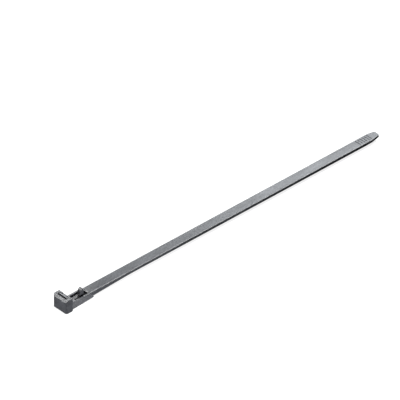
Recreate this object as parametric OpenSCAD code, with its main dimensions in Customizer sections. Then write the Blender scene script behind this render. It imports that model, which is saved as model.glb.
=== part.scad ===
// Releasable cable tie lying straight and open, teeth downward.
// One moulded piece: head with slot and pawl, frame with release lever, toothed strap, grip tip.
// Frame: X runs from the head to the tip, Y across the strap, Z up.
// X = 0 is the middle of the length, Y = 0 the middle of the strap, Z = 0 the underside of the head.
// The single shapes are drawn from the outer face of the head, and the whole tie is then centred.
// All sizes in millimetres.

/* [Strap] */
// Whole length from the outer face of the head to the tip
tie_length = 189.5; // [150:0.5:300]
// Width of the strap
strap_w = 5.2; // [4.8:0.1:5.4]
// Thickness of the strap
strap_t = 1.4; // [1.2:0.05:1.6]
// Height of the upper face of the strap above the underside of the head
strap_top_z = 2.9; // [2.8:0.1:3.4]
// Radius of the two long upper edges of the strap
strap_edge_r = 0.45; // [0.2:0.05:0.5]
// Thickness of the strap where it leaves the frame
root_t = 2.2; // [1.8:0.1:2.3]
// Length over which the root thins down to the strap
root_run = 22; // [10:1:25]
// Width of the bevel across the root, along the edge of the opening round the lever
root_bevel = 0.45; // [0.2:0.05:0.5]

/* [Teeth] */
// Spacing of the teeth of the strap and of the pawl
tooth_pitch = 1.2; // [1.1:0.05:1.4]
// Height of a tooth
tooth_h = 0.5; // [0.35:0.05:0.55]
// Depth of the tips of the teeth below the smooth margins
tooth_sink = 0.1; // [0.05:0.05:0.2]
// Width of the toothed track
track_w = 2.8; // [2.4:0.1:3.2]
// Distance from the outer face of the head to the first tooth
track_start = 56; // [45:1:70]
// Least distance from the last tooth to the tip
track_end_gap = 20; // [16:1:40]

/* [Tip] */
// Width of the blunt end
tip_w = 3.6; // [3.2:0.1:4.4]
// Length over which the tip narrows
tip_run = 5; // [3:0.5:9]
// Radius of the two corners of the blunt end
tip_r = 0.9; // [0.6:0.1:1.4]
// Thickness of the blunt end
tip_t = 1.05; // [0.8:0.05:1.15]
// Length over which the underside of the tip rises
tip_thin_run = 9; // [6:0.5:14]
// Depth of the blunt end below the upper face of the strap
tip_drop = 0.1; // [0.05:0.05:0.3]
// Length over which the upper face drops to the blunt end
tip_drop_run = 4; // [2:0.5:4]
// Number of grip grooves across the upper face
grip_count = 6; // [3:1:6]
// Spacing of the grip grooves
grip_pitch = 1.33; // [1.2:0.01:1.6]
// Radius of a grip groove
grip_r = 0.5; // [0.4:0.05:0.55]
// Depth of a grip groove
grip_depth = 0.12; // [0.08:0.02:0.2]
// Length of a grip groove across the strap
grip_w = 3.5; // [2.8:0.1:3.8]
// Distance from the last grip groove to the tip
grip_end_gap = 4.8; // [4.6:0.1:7]

/* [Head] */
// Length of the head along the strap
head_l = 4.9; // [4.8:0.1:5.4]
// Height of the head
head_h = 7; // [6.8:0.1:7.8]
// Thickness of the head beside the slot
side_wall = 1.5; // [1.3:0.1:2]
// Thickness of the outer wall in front of the slot
outer_wall = 1; // [0.9:0.05:1.1]
// Radius of the two outer upright edges of the head
outer_edge_r = 1; // [0.6:0.1:1.4]
// Radius of the two inner upright edges of the head
inner_edge_r = 2; // [1.6:0.1:2.2]
// Length along the strap of the bevel on the upper outer edge of the head
top_bevel_l = 0.8; // [0.4:0.05:0.85]
// Height of the bevel on the upper outer edge of the head
top_bevel_h = 1.1; // [0.4:0.1:1.4]
// Radius of the two upper side edges of the head
side_edge_r = 0.4; // [0.2:0.05:0.8]
// Distance from the outer face to the end of the flat top
crest_l = 3.6; // [3.2:0.1:3.7]
// Height of the foot of the slope behind the flat top
slope_foot_z = 4.4; // [3.9:0.1:5]
// Distance from the foot of the slope to the inner end of the head
slope_foot_gap = 0.1; // [0.1:0.05:0.5]

/* [Slot and pawl] */
// Clearance at each side of a strap in the slot
slot_clear_w = 0.35; // [0.2:0.05:0.5]
// Clearance between the outer wall and the face of the slot opposite, above the strap thickness
slot_clear_t = 0.35; // [0.2:0.05:0.4]
// Open gap between the outer wall and the nose of the pawl
nose_gap = 0.85; // [0.6:0.05:0.9]
// Gap at each end of the nose of the pawl
nose_side_gap = 0.3; // [0.2:0.05:0.5]
// Gap behind the wings of the nose
nose_rear_gap = 0.2; // [0.15:0.05:0.3]
// Width of the stem of the pawl behind its nose
stem_w = 3; // [2.6:0.1:3.6]
// Gap at each side of the stem
stem_gap = 0.4; // [0.3:0.05:0.5]
// Number of teeth of the pawl
pawl_teeth = 3; // [2:1:3]
// Height of a tooth of the pawl
pawl_tooth_h = 0.4; // [0.3:0.05:0.5]
// Height of the underside of the pawl
pawl_foot_z = 1.8; // [1.4:0.1:2.2]
// Thickness of the wall that carries the pawl
pawl_wall = 1; // [0.9:0.05:1.1]

/* [Frame and lever] */
// Distance from the outer face of the head to the far end of the frame
frame_l = 17; // [16.8:0.1:19]
// Width added to the strap at each side at the top of the frame
frame_lip = 0.15; // [0.1:0.05:0.3]
// Width added at each side from the top of the frame down to the underside of the head
frame_flare = 0.9; // [0.5:0.1:1]
// Height of the frame above the upper face of the strap
frame_rise = 0.1; // [0.05:0.05:0.2]
// Height of the underside of the frame at the head
frame_foot_z = 0.1; // [0.1:0.1:0.5]
// Height of the underside of the frame at its far end
frame_end_z = 0.6; // [0.5:0.1:0.8]
// Length of the sloping shoulder at the far end of the frame
shoulder_l = 1.7; // [1.5:0.1:2.5]
// Height of the foot of the shoulder
shoulder_z = 1.4; // [1.1:0.1:1.8]
// Solid length between the head and the opening round the lever
bridge_l = 2.2; // [1.8:0.1:2.6]
// Width of the opening round the lever
opening_w = 4; // [3.8:0.1:4.2]
// Width of the lever
lever_w = 1.8; // [1.6:0.1:2]
// Thickness of the lever
lever_t = 1.3; // [1.1:0.1:1.5]
// Depth of the upper face of the lever below the top of the frame, at the thumb tab
lever_drop = 0.25; // [0.1:0.05:0.5]
// Height that the upper face of the lever rises from the head to the thumb tab
lever_rise = 0.3; // [0.1:0.05:0.5]
// Gap between the end of the lever and the root of the strap
lever_end_gap = 0.7; // [0.5:0.1:1]
// Length of the sloping end of the lever beyond the thumb tab
lever_end_l = 1.1; // [0.8:0.1:1.4]
// Depth that the sloping end of the lever falls
lever_end_drop = 0.9; // [0.4:0.1:1]
// Height of the thumb tab above the lever
tab_h = 3.3; // [2.5:0.1:3.6]
// Length of the thumb tab at its foot
tab_l = 2.4; // [2:0.1:2.6]

/* [Hidden] */
$fn = 64;
over = 1;
slot_w = strap_w + 2 * slot_clear_w;
slot_l = strap_t + slot_clear_t;
head_w = slot_w + 2 * side_wall;
strap_z = strap_top_z - strap_t;
frame_top_z = strap_top_z + frame_rise;
frame_top_w = strap_w + 2 * frame_lip;
frame_foot_w = frame_top_w + 2 * frame_flare;
opening_x = head_l + bridge_l;
opening_end_x = frame_l - shoulder_l;
lever_end_x = opening_end_x - lever_end_gap;
tab_end_x = lever_end_x - lever_end_l;
lever_top_z = frame_top_z - lever_drop;
lever_z = lever_top_z - lever_t;
tab_x = tab_end_x - tab_l;
tab_top_z = lever_top_z + tab_h;
root_end_x = frame_l + root_run;
tip_top_z = strap_top_z - tip_drop;
nose_x = outer_wall + nose_gap;
pawl_root_x = nose_x + pawl_tooth_h;
pawl_rear_x = head_l - pawl_wall;
slope_foot_x = head_l - slope_foot_gap;
pawl_rear_z = min(head_h, head_h - (pawl_rear_x - crest_l) * (head_h - slope_foot_z) / (slope_foot_x - crest_l));
nose_w = slot_w - 2 * nose_side_gap;
nose_rear_x = outer_wall + slot_l - nose_rear_gap;
window_w = stem_w + 2 * stem_gap;
frame_join_x = head_l - inner_edge_r;
track_roof_z = strap_z + tooth_sink + tooth_h;
tooth_count = floor((tie_length - track_end_gap - track_start) / tooth_pitch);
// Part of the pitch taken by the steep face and by the long slope of a tooth
steep_part = 0.12;
slope_part = 0.8;
// Outline of the thumb tab, as parts of its length at the foot and of its height
tab_far_part = 0.2;
tab_far_drop = 0.1;
tab_crest_part = 0.42;
tab_near_part = 0.72;
tab_near_drop = 0.16;
tab_waist_part = 0.9;
tab_waist_drop = 0.45;

// Puts a shape drawn in X and Z upright and gives it a width across the strap
module across(width) {
  rotate([90, 0, 0]) linear_extrude(height = width, center = true) children();
}

// Outline of the head seen from above, with its four upright edges rounded
module head_plan() {
  outer_y = head_w / 2 - outer_edge_r;
  inner_y = head_w / 2 - inner_edge_r;
  inner_x = head_l - inner_edge_r;
  translate([0, -outer_y]) square([outer_edge_r + over / 2, 2 * outer_y]);
  translate([outer_edge_r, -head_w / 2]) square([inner_x - outer_edge_r, head_w]);
  translate([outer_edge_r, -inner_y]) square([head_l - outer_edge_r, 2 * inner_y]);
  for (side = [-1, 1]) {
    translate([outer_edge_r, side * outer_y]) circle(r = outer_edge_r);
    translate([inner_x, side * inner_y]) circle(r = inner_edge_r);
  }
}

// Outline of the head seen along the strap, with its two upper edges rounded
module head_front() {
  round_y = head_w / 2 - side_edge_r;
  round_z = head_h - side_edge_r;
  translate([-head_w / 2, 0]) square([head_w, round_z]);
  translate([-round_y, 0]) square([2 * round_y, head_h]);
  for (side = [-1, 1]) translate([side * round_y, round_z]) circle(r = side_edge_r);
}

// Outline of the head seen from the side: bevelled outer edge, flat top, slope down to the frame
module head_side() {
  polygon([
    [0, 0],
    [head_l, 0],
    [head_l, frame_top_z],
    [slope_foot_x, slope_foot_z],
    [crest_l, head_h],
    [top_bevel_l, head_h],
    [0, head_h - top_bevel_h]
  ]);
}

// Solid head before the slot and the pawl window are cut
module head_block() {
  intersection() {
    linear_extrude(height = head_h) head_plan();
    across(head_w + over) head_side();
    rotate([90, 0, 90]) linear_extrude(height = head_l) head_front();
  }
}

// Slot for the strap, and the narrower window behind it in which the stem of the pawl stands
module head_openings() {
  translate([outer_wall, -slot_w / 2, -over]) cube([slot_l, slot_w, head_h + 2 * over]);
  translate([outer_wall + slot_l / 2, -window_w / 2, -over])
    cube([pawl_rear_x - outer_wall - slot_l / 2, window_w, head_h + 2 * over]);
}

// Pawl seen from the side: teeth toward the slot, joined to the wall behind
module pawl_side() {
  tooth_points = [
    for (i = [0 : pawl_teeth - 1])
      each [
        [nose_x, head_h - i * tooth_pitch],
        [pawl_root_x, head_h - (i + 1) * tooth_pitch]
      ]
  ];
  polygon(concat(
    tooth_points,
    [
      [outer_wall + slot_l, pawl_foot_z],
      [pawl_rear_x + pawl_wall / 2, pawl_foot_z],
      [pawl_rear_x + pawl_wall / 2, slope_foot_z],
      [pawl_rear_x, pawl_rear_z],
      [nose_rear_x, head_h]
    ]
  ));
}

// Pawl: narrow stem, and a nose with a wing at each side that fills the width of the slot
module pawl() {
  across(stem_w) pawl_side();
  intersection() {
    across(nose_w) pawl_side();
    translate([0, -nose_w / 2, 0]) cube([nose_rear_x, nose_w, head_h]);
  }
}

// Frame behind the head: flared sides, rising underside, sloping shoulders
module frame_block() {
  intersection() {
    across(frame_foot_w + over) polygon([
      [frame_join_x, frame_foot_z],
      [head_l, frame_foot_z],
      [frame_l, frame_end_z],
      [frame_l, shoulder_z],
      [opening_end_x, frame_top_z],
      [frame_join_x, frame_top_z]
    ]);
    rotate([90, 0, 90]) linear_extrude(height = frame_l) polygon([
      [-frame_foot_w / 2, 0],
      [frame_foot_w / 2, 0],
      [frame_top_w / 2, frame_top_z],
      [-frame_top_w / 2, frame_top_z]
    ]);
  }
}

// Opening between the rails, open above and below, with a bevel at the root of the strap
module lever_opening() {
  translate([opening_x, -opening_w / 2, -over])
    cube([opening_end_x - opening_x, opening_w, head_h + over]);
  across(opening_w) polygon([
    [opening_end_x, frame_top_z - root_bevel],
    [opening_end_x + root_bevel + over, frame_top_z + over],
    [opening_end_x, frame_top_z + over]
  ]);
}

// Release lever with its thumb tab, joined to the bridge behind the head
module lever() {
  across(lever_w) polygon([
    [opening_x - bridge_l / 2, lever_z],
    [lever_end_x, lever_z],
    [lever_end_x, lever_top_z - lever_end_drop],
    [tab_end_x, lever_top_z],
    [tab_end_x - tab_far_part * tab_l, tab_top_z - tab_far_drop * tab_h],
    [tab_end_x - tab_crest_part * tab_l, tab_top_z],
    [tab_end_x - tab_near_part * tab_l, tab_top_z - tab_near_drop * tab_h],
    [tab_end_x - tab_waist_part * tab_l, tab_top_z - tab_waist_drop * tab_h],
    [tab_x, lever_top_z],
    [opening_x, lever_top_z - lever_rise],
    [opening_x - bridge_l / 2, lever_top_z - lever_rise]
  ]);
}

// Strap seen from the side, thick at the root and thin at the tip
module strap_side() {
  polygon([
    [opening_end_x + root_bevel - frame_rise, strap_top_z],
    [opening_end_x, frame_top_z - root_bevel],
    [opening_end_x, strap_top_z - root_t],
    [frame_l, strap_top_z - root_t],
    [root_end_x, strap_z],
    [tie_length - tip_thin_run, strap_z],
    [tie_length, tip_top_z - tip_t],
    [tie_length, tip_top_z],
    [tie_length - tip_drop_run, strap_top_z]
  ]);
}

// Strap seen from above, narrowed at the tip, with the two corners of its end rounded
module strap_plan() {
  round_x = tie_length - tip_r;
  round_y = tip_w / 2 - tip_r;
  polygon([
    [opening_end_x, -strap_w / 2],
    [tie_length - tip_run, -strap_w / 2],
    [round_x, -tip_w / 2],
    [round_x, tip_w / 2],
    [tie_length - tip_run, strap_w / 2],
    [opening_end_x, strap_w / 2]
  ]);
  translate([round_x - over, -round_y]) square([tip_r + over, 2 * round_y]);
  for (side = [-1, 1]) translate([round_x, side * round_y]) circle(r = tip_r);
}

// Section across the strap, with its two upper edges rounded
module strap_section() {
  round_y = strap_w / 2 - strap_edge_r;
  round_z = strap_top_z - strap_edge_r;
  translate([-strap_w / 2, 0]) square([strap_w, round_z]);
  translate([-round_y, 0]) square([2 * round_y, strap_top_z]);
  for (side = [-1, 1]) translate([side * round_y, round_z]) circle(r = strap_edge_r);
}

// Space between the teeth, one long cut with steep faces toward the head
module track_cut() {
  across(track_w) polygon(concat(
    [[track_start, strap_z - over]],
    [
      for (i = [0 : tooth_count - 1])
        each [
          [track_start + i * tooth_pitch, track_roof_z],
          [track_start + (i + steep_part) * tooth_pitch, track_roof_z - tooth_h],
          [track_start + (i + slope_part) * tooth_pitch, track_roof_z]
        ]
    ],
    [
      [track_start + tooth_count * tooth_pitch, track_roof_z],
      [track_start + tooth_count * tooth_pitch, strap_z - over]
    ]
  ));
}

// Grip grooves across the upper face near the tip
module grip_cuts() {
  for (i = [0 : grip_count - 1])
    translate([tie_length - grip_end_gap - i * grip_pitch, 0, strap_top_z + grip_r - grip_depth])
      rotate([90, 0, 0]) cylinder(r = grip_r, h = grip_w, center = true);
}

// Strap with its toothed track and grip grooves
module strap() {
  difference() {
    intersection() {
      across(strap_w + over) strap_side();
      linear_extrude(height = strap_top_z + over) strap_plan();
      rotate([90, 0, 90]) linear_extrude(height = tie_length + over) strap_section();
    }
    track_cut();
    grip_cuts();
  }
}

// Whole cable tie in one piece
module cable_tie() {
  color([0.16, 0.16, 0.17]) translate([-tie_length / 2, 0, 0]) union() {
    difference() {
      union() {
        head_block();
        frame_block();
      }
      head_openings();
      lever_opening();
    }
    pawl();
    lever();
    strap();
  }
}

cable_tie();
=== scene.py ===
import math

import bpy
from mathutils import Matrix, Vector


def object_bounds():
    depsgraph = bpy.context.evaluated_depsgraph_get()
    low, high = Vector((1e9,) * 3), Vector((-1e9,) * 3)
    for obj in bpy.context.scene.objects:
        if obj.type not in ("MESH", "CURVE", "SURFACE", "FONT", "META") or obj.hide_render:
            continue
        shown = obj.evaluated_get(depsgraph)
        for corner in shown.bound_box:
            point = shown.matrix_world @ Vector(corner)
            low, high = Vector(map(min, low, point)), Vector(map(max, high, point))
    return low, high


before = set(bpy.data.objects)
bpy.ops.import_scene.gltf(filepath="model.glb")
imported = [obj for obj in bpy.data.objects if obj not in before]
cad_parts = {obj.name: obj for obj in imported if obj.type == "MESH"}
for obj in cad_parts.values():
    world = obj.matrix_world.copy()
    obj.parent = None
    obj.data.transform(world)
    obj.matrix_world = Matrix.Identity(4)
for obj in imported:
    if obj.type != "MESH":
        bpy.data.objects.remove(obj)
packed_lo, packed_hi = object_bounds()

MM = 0.001
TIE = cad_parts["cable_tie"]


# Helpers for node trees


def node(tree, kind, **values):
    made = tree.nodes.new(kind)
    for key, value in values.items():
        if key in made.inputs:
            made.inputs[key].default_value = value
        else:
            setattr(made, key, value)
    return made


def maths(tree, how, first, second):
    made = node(tree, "ShaderNodeMath", operation=how)
    for place, value in enumerate((first, second)):
        if isinstance(value, (int, float)):
            made.inputs[place].default_value = value
        else:
            tree.links.new(value, made.inputs[place])
    return made.outputs["Value"]


def ranged(tree, value, taken, given):
    made = node(tree, "ShaderNodeMapRange")
    made.inputs["From Min"].default_value = taken[0]
    made.inputs["From Max"].default_value = taken[1]
    made.inputs["To Min"].default_value = given[0]
    made.inputs["To Max"].default_value = given[1]
    tree.links.new(value, made.inputs["Value"])
    return made.outputs["Result"]


def noise(tree, coords, repeats, detail, rough):
    scaled = node(tree, "ShaderNodeMapping", Scale=repeats)
    made = node(tree, "ShaderNodeTexNoise", Scale=1.0, Detail=detail, Roughness=rough)
    tree.links.new(coords, scaled.inputs["Vector"])
    tree.links.new(scaled.outputs["Vector"], made.inputs["Vector"])
    return made.outputs["Fac"]


def seen_and_unseen(tree, out, seen, unseen):
    path = tree.nodes.new("ShaderNodeLightPath")
    pick = tree.nodes.new("ShaderNodeMixShader")
    tree.links.new(path.outputs["Is Camera Ray"], pick.inputs[0])
    tree.links.new(unseen.outputs[0], pick.inputs[1])
    tree.links.new(seen.outputs[0], pick.inputs[2])
    tree.links.new(pick.outputs[0], out.inputs["Surface"])


# Edges: the long edges of the moulding have small radii, and its finest steps stay crisp

EDGE_RADIUS = 0.08 * MM
EDGE_SEGMENTS = 2
ROUNDED_ANGLE = math.radians(35)
SHARP_ANGLE = math.radians(48)
LEAST_ROUNDED_LENGTH = 0.35 * MM
WELD_GAP = 0.002 * MM
FLAT_ANGLE = math.radians(0.3)
LARGE_FACE_WEIGHT = 80
HEAD_FACE = packed_lo[0]
# Boxes in millimetres from the outer face of the head: from x, to x, within y, from z, to z
CRISP_PLACES = {
    "toothed track": (55.9, 190, 1.45, -1, 2.15),
    "grip grooves": (177, 186, 1.8, 2.7, 3),
    "rounding that ends in the narrowed tip": (184.3, 187.8, 3, 2.3, 2.95),
    "step from the frame to the root": (15.2, 16, 3, 2.3, 3.1),
    "foot of the slope behind the head": (4, 5.3, 3.4, 2.5, 4.7),
    "step under the head": (4.8, 5.1, 5, -0.1, 0.3),
    "step under the end of the frame": (16.9, 17.1, 5, 0.4, 1),
    "lower edge and ends of the top bevel of the head": (-0.01, 0.79, 5, 5.8, 7.1),
}
# Of these, the places where even a shallow edge parts two shades
HARD_PLACES = ("lower edge and ends of the top bevel of the head", "step from the frame to the root")


def edge_plan():
    plan = bpy.data.node_groups.new("edge_plan", "GeometryNodeTree")
    for way in ("INPUT", "OUTPUT"):
        plan.interface.new_socket("Geometry", in_out=way, socket_type="NodeSocketGeometry")
    angle = plan.nodes.new("GeometryNodeInputMeshEdgeAngle").outputs["Unsigned Angle"]
    ends = plan.nodes.new("GeometryNodeInputMeshEdgeVertices")
    length = node(plan, "ShaderNodeVectorMath", operation="DISTANCE")
    for end in range(2):
        plan.links.new(ends.outputs[f"Position {end + 1}"], length.inputs[end])
    place = plan.nodes.new("ShaderNodeSeparateXYZ")
    plan.links.new(plan.nodes.new("GeometryNodeInputPosition").outputs[0], place.inputs[0])
    x, y, z = place.outputs
    sideways = maths(plan, "ABSOLUTE", y, 0)

    def every(*tests):
        result = tests[0]
        for test in tests[1:]:
            result = maths(plan, "MULTIPLY", result, test)
        return result

    rounded = every(
        maths(plan, "GREATER_THAN", angle, ROUNDED_ANGLE),
        maths(plan, "GREATER_THAN", length.outputs["Value"], LEAST_ROUNDED_LENGTH),
    )
    hard = maths(plan, "GREATER_THAN", angle, SHARP_ANGLE)
    for name, (x0, x1, half_y, z0, z1) in CRISP_PLACES.items():
        inside = every(
            maths(plan, "GREATER_THAN", x, HEAD_FACE + x0 * MM),
            maths(plan, "LESS_THAN", x, HEAD_FACE + x1 * MM),
            maths(plan, "LESS_THAN", sideways, half_y * MM),
            maths(plan, "GREATER_THAN", z, z0 * MM),
            maths(plan, "LESS_THAN", z, z1 * MM),
        )
        rounded = every(rounded, maths(plan, "SUBTRACT", 1, inside))
        if name in HARD_PLACES:
            hard = maths(plan, "MAXIMUM", hard, inside)

    smooth = node(plan, "GeometryNodeSetShadeSmooth", domain="FACE")
    crisp = node(plan, "GeometryNodeSetShadeSmooth", domain="EDGE")
    crisp.inputs["Shade Smooth"].default_value = False
    weight = node(plan, "GeometryNodeStoreNamedAttribute", data_type="FLOAT", domain="EDGE")
    weight.inputs["Name"].default_value = "bevel_weight_edge"
    plan.links.new(hard, crisp.inputs["Selection"])
    plan.links.new(rounded, weight.inputs["Value"])
    start = plan.nodes.new("NodeGroupInput")
    finish = plan.nodes.new("NodeGroupOutput")
    chain = [start, smooth, crisp, weight, finish]
    for before, after in zip(chain, chain[1:]):
        plan.links.new(before.outputs[0], after.inputs[0])
    return plan


def soften(obj):
    weld = obj.modifiers.new("weld", "WELD")
    weld.merge_threshold = WELD_GAP
    flat = obj.modifiers.new("whole_faces", "DECIMATE")
    flat.decimate_type = "DISSOLVE"
    flat.angle_limit = FLAT_ANGLE
    obj.modifiers.new("edge_plan", "NODES").node_group = edge_plan()
    bevel = obj.modifiers.new("edge_radius", "BEVEL")
    bevel.limit_method = "WEIGHT"
    bevel.offset_type = "OFFSET"
    bevel.width = EDGE_RADIUS
    bevel.segments = EDGE_SEGMENTS
    bevel.use_clamp_overlap = False
    normals = obj.modifiers.new("normals", "WEIGHTED_NORMAL")
    normals.keep_sharp = True
    normals.weight = LARGE_FACE_WEIGHT


# Material: dark grey nylon, satin, with mould grain, flow marks and light scuffs

DARK_SHADE = (0.018, 0.019, 0.0215, 1)
LIGHT_SHADE = (0.047, 0.049, 0.0555, 1)
REFRACTION = 1.53
# Noises: repeats to a metre along, across and up, then detail and roughness of the noise
TONE = ((60, 220, 220), 3.0, 0.6)
SPECK = ((1800, 1800, 1800), 4.0, 0.75)
FLOW = ((45, 400, 400), 2.0, 0.5)
SCUFF = ((1200, 3200, 3200), 3.0, 0.7)
FINE_GRAIN = ((9000, 9000, 9000), 3.0, 0.65)
COARSE_GRAIN = ((1900, 1900, 1900), 2.0, 0.6)
WAVE = ((38, 60, 60), 1.0, 0.4)
# How much of each noise is mixed in, and the range of its values that shows
TONE_SHARE = 0.4
SPECK_SHARE = 0.6
SHADE_RANGE = (0.40, 0.60)
FLOW_RANGE = (0.3, 0.7)
SCUFF_RANGE = (0.52, 0.75)
# Surface roughness from the flow marks, and what the scuffs add to it
FLOW_ROUGHNESS = (0.30, 0.38)
SCUFF_ROUGHNESS = (0, 0.10)
# Bumps: strength and depth
GRAIN_STRENGTH = 0.3
GRAIN_DEPTH = 0.02 * MM
COARSE_TO_FINE = 4.5
WAVE_STRENGTH = 0.5
WAVE_DEPTH = 0.35 * MM


def nylon():
    mat = bpy.data.materials.new("nylon")
    mat.use_nodes = True
    tree = mat.node_tree
    shader = tree.nodes["Principled BSDF"]
    coords = tree.nodes.new("ShaderNodeTexCoord").outputs["Object"]

    tone = maths(tree, "MULTIPLY", noise(tree, coords, *TONE), TONE_SHARE)
    speck = maths(tree, "MULTIPLY", noise(tree, coords, *SPECK), SPECK_SHARE)
    shades = node(tree, "ShaderNodeMix", data_type="RGBA")
    shades.inputs[6].default_value = DARK_SHADE
    shades.inputs[7].default_value = LIGHT_SHADE
    blend = maths(tree, "ADD", tone, speck)
    tree.links.new(ranged(tree, blend, SHADE_RANGE, (0, 1)), shades.inputs[0])
    tree.links.new(shades.outputs[2], shader.inputs["Base Color"])

    flow = ranged(tree, noise(tree, coords, *FLOW), FLOW_RANGE, FLOW_ROUGHNESS)
    scuff = ranged(tree, noise(tree, coords, *SCUFF), SCUFF_RANGE, SCUFF_ROUGHNESS)
    tree.links.new(maths(tree, "ADD", flow, scuff), shader.inputs["Roughness"])
    shader.inputs["IOR"].default_value = REFRACTION

    wave = node(tree, "ShaderNodeBump", Strength=WAVE_STRENGTH, Distance=WAVE_DEPTH)
    tree.links.new(noise(tree, coords, *WAVE), wave.inputs["Height"])
    grain = node(tree, "ShaderNodeBump", Strength=GRAIN_STRENGTH, Distance=GRAIN_DEPTH)
    coarse = maths(tree, "MULTIPLY", noise(tree, coords, *COARSE_GRAIN), COARSE_TO_FINE)
    height = maths(tree, "ADD", noise(tree, coords, *FINE_GRAIN), coarse)
    tree.links.new(height, grain.inputs["Height"])
    tree.links.new(wave.outputs["Normal"], grain.inputs["Normal"])
    tree.links.new(grain.outputs["Normal"], shader.inputs["Normal"])
    return mat


soften(TIE)
TIE.data.materials.clear()
TIE.data.materials.append(nylon())


# Stage: a floor that the camera sees as white with the shadow of the tie, and that lights
# the tie as a dark card would, in white surroundings

FLOOR_SIZE = 6
FLOOR_GLOW = 0.85
FLOOR_SHADED = (0.2, 0.2, 0.2, 1)
FLOOR_CARD = (0.035, 0.035, 0.035, 1)
WHITE = (1, 1, 1, 1)
SKY_COLOUR = (0.93, 0.96, 1, 1)
SKY_STRENGTH = 0.14


def floor():
    bpy.ops.mesh.primitive_plane_add(size=FLOOR_SIZE, location=(0, 0, 0))
    plane = bpy.context.object
    plane.name = "floor"
    mat = bpy.data.materials.new("floor")
    mat.use_nodes = True
    tree = mat.node_tree
    tree.nodes.clear()
    out = tree.nodes.new("ShaderNodeOutputMaterial")
    card = node(tree, "ShaderNodeBsdfDiffuse", Color=FLOOR_CARD)
    shaded = node(tree, "ShaderNodeBsdfDiffuse", Color=FLOOR_SHADED)
    glow = node(tree, "ShaderNodeEmission", Strength=FLOOR_GLOW)
    white = tree.nodes.new("ShaderNodeAddShader")
    tree.links.new(glow.outputs[0], white.inputs[0])
    tree.links.new(shaded.outputs[0], white.inputs[1])
    seen_and_unseen(tree, out, white, card)
    plane.data.materials.append(mat)


def surroundings():
    world = bpy.data.worlds.new("surroundings")
    bpy.context.scene.world = world
    world.use_nodes = True
    tree = world.node_tree
    tree.nodes.clear()
    out = tree.nodes.new("ShaderNodeOutputWorld")
    seen = node(tree, "ShaderNodeBackground", Color=WHITE, Strength=1.0)
    sky = node(tree, "ShaderNodeBackground", Color=SKY_COLOUR, Strength=SKY_STRENGTH)
    seen_and_unseen(tree, out, seen, sky)


def softbox(name, aim, direction, distance, size, radiance, colour=WHITE[:3]):
    light = bpy.data.lights.new(name, "AREA")
    light.shape = "RECTANGLE"
    light.size = size[0]
    light.size_y = size[1]
    light.energy = radiance * math.pi * size[0] * size[1]
    light.color = colour
    obj = bpy.data.objects.new(name, light)
    bpy.context.scene.collection.objects.link(obj)
    toward = Vector(direction).normalized()
    across = toward.cross(Vector((1, 0, 0))).normalized()
    along = across.cross(toward)
    turn = Matrix((along, across, toward)).transposed().to_4x4()
    obj.matrix_world = Matrix.Translation(Vector(aim) + distance * toward) @ turn


floor()
surroundings()

# What the lamps are aimed at, in metres
TIP_SIDE = (0.105, 0, 0.003)
MIDDLE = (0, 0, 0.003)
HEAD = (-0.09, 0, 0.004)
ROOT = (-0.0795, 0, 0.003)
BEVEL = (-0.0944, 0, 0.0064)
# The directions that level faces, the step to the root and the top bevel of the head mirror
LEVEL_MIRROR = (0.54, 0.60, 0.59)
STEP_MIRROR = (-0.59, 0.60, 0.54)
BEVEL_MIRROR = (-0.76, 0.60, 0.26)
LEFT = (-0.62, 0.60, 0.50)
ABOVE = (0.54, 0.0, 0.84)
LOW_LEFT = (-0.95, 0.30, 0.0)
LOW_RIGHT = (0.08, -0.97, 0.12)
COOL = (0.93, 0.97, 1)
# Each lamp: its name, aim, direction, distance from the aim, size, radiance and colour
softbox("back_box", TIP_SIDE, LEVEL_MIRROR, 0.50, (0.22, 0.22), 7.4, COOL)
softbox("left_box", HEAD, LEFT, 0.40, (0.16, 0.10), 4.0)
softbox("top_box", MIDDLE, ABOVE, 0.45, (0.34, 0.09), 42.0)
softbox("head_left", HEAD, LOW_LEFT, 0.10, (0.04, 0.012), 115.0)
softbox("bevel_glint", BEVEL, BEVEL_MIRROR, 0.04, (0.016, 0.006), 14.0)
softbox("head_right", HEAD, LOW_RIGHT, 0.10, (0.05, 0.02), 62.0)
softbox("root_glint", ROOT, STEP_MIRROR, 0.15, (0.03, 0.03), 32.0)
softbox("head_sheen", HEAD, LEVEL_MIRROR, 0.05, (0.014, 0.014), 6.0)


# Camera: the photo's viewing direction, so distant that edges stay nearly parallel

TURN = math.radians(42.38)
RAISE = math.radians(36.38)
LENS = 1500
SENSOR_WIDTH = 36
AWAY = 7350.8 * MM
ACROSS = -8.55 * MM
UPWARD = 10.38 * MM
NEAREST_SEEN = 0.5
FARTHEST_SEEN = 60


def photo_camera():
    data = bpy.data.cameras.new("camera")
    cam = bpy.data.objects.new("camera", data)
    bpy.context.scene.collection.objects.link(cam)
    data.sensor_width = SENSOR_WIDTH
    data.lens = LENS
    data.clip_start = NEAREST_SEEN
    data.clip_end = FARTHEST_SEEN
    right = Vector((math.cos(TURN), -math.sin(TURN), 0))
    up = Vector((math.sin(TURN) * math.sin(RAISE), math.cos(TURN) * math.sin(RAISE), math.cos(RAISE)))
    back = right.cross(up)
    place = Matrix.Translation(right * ACROSS + up * UPWARD + back * AWAY)
    cam.matrix_world = place @ Matrix((right, up, back)).transposed().to_4x4()
    bpy.context.scene.camera = cam


photo_camera()
bpy.context.scene.view_settings.view_transform = "Standard"
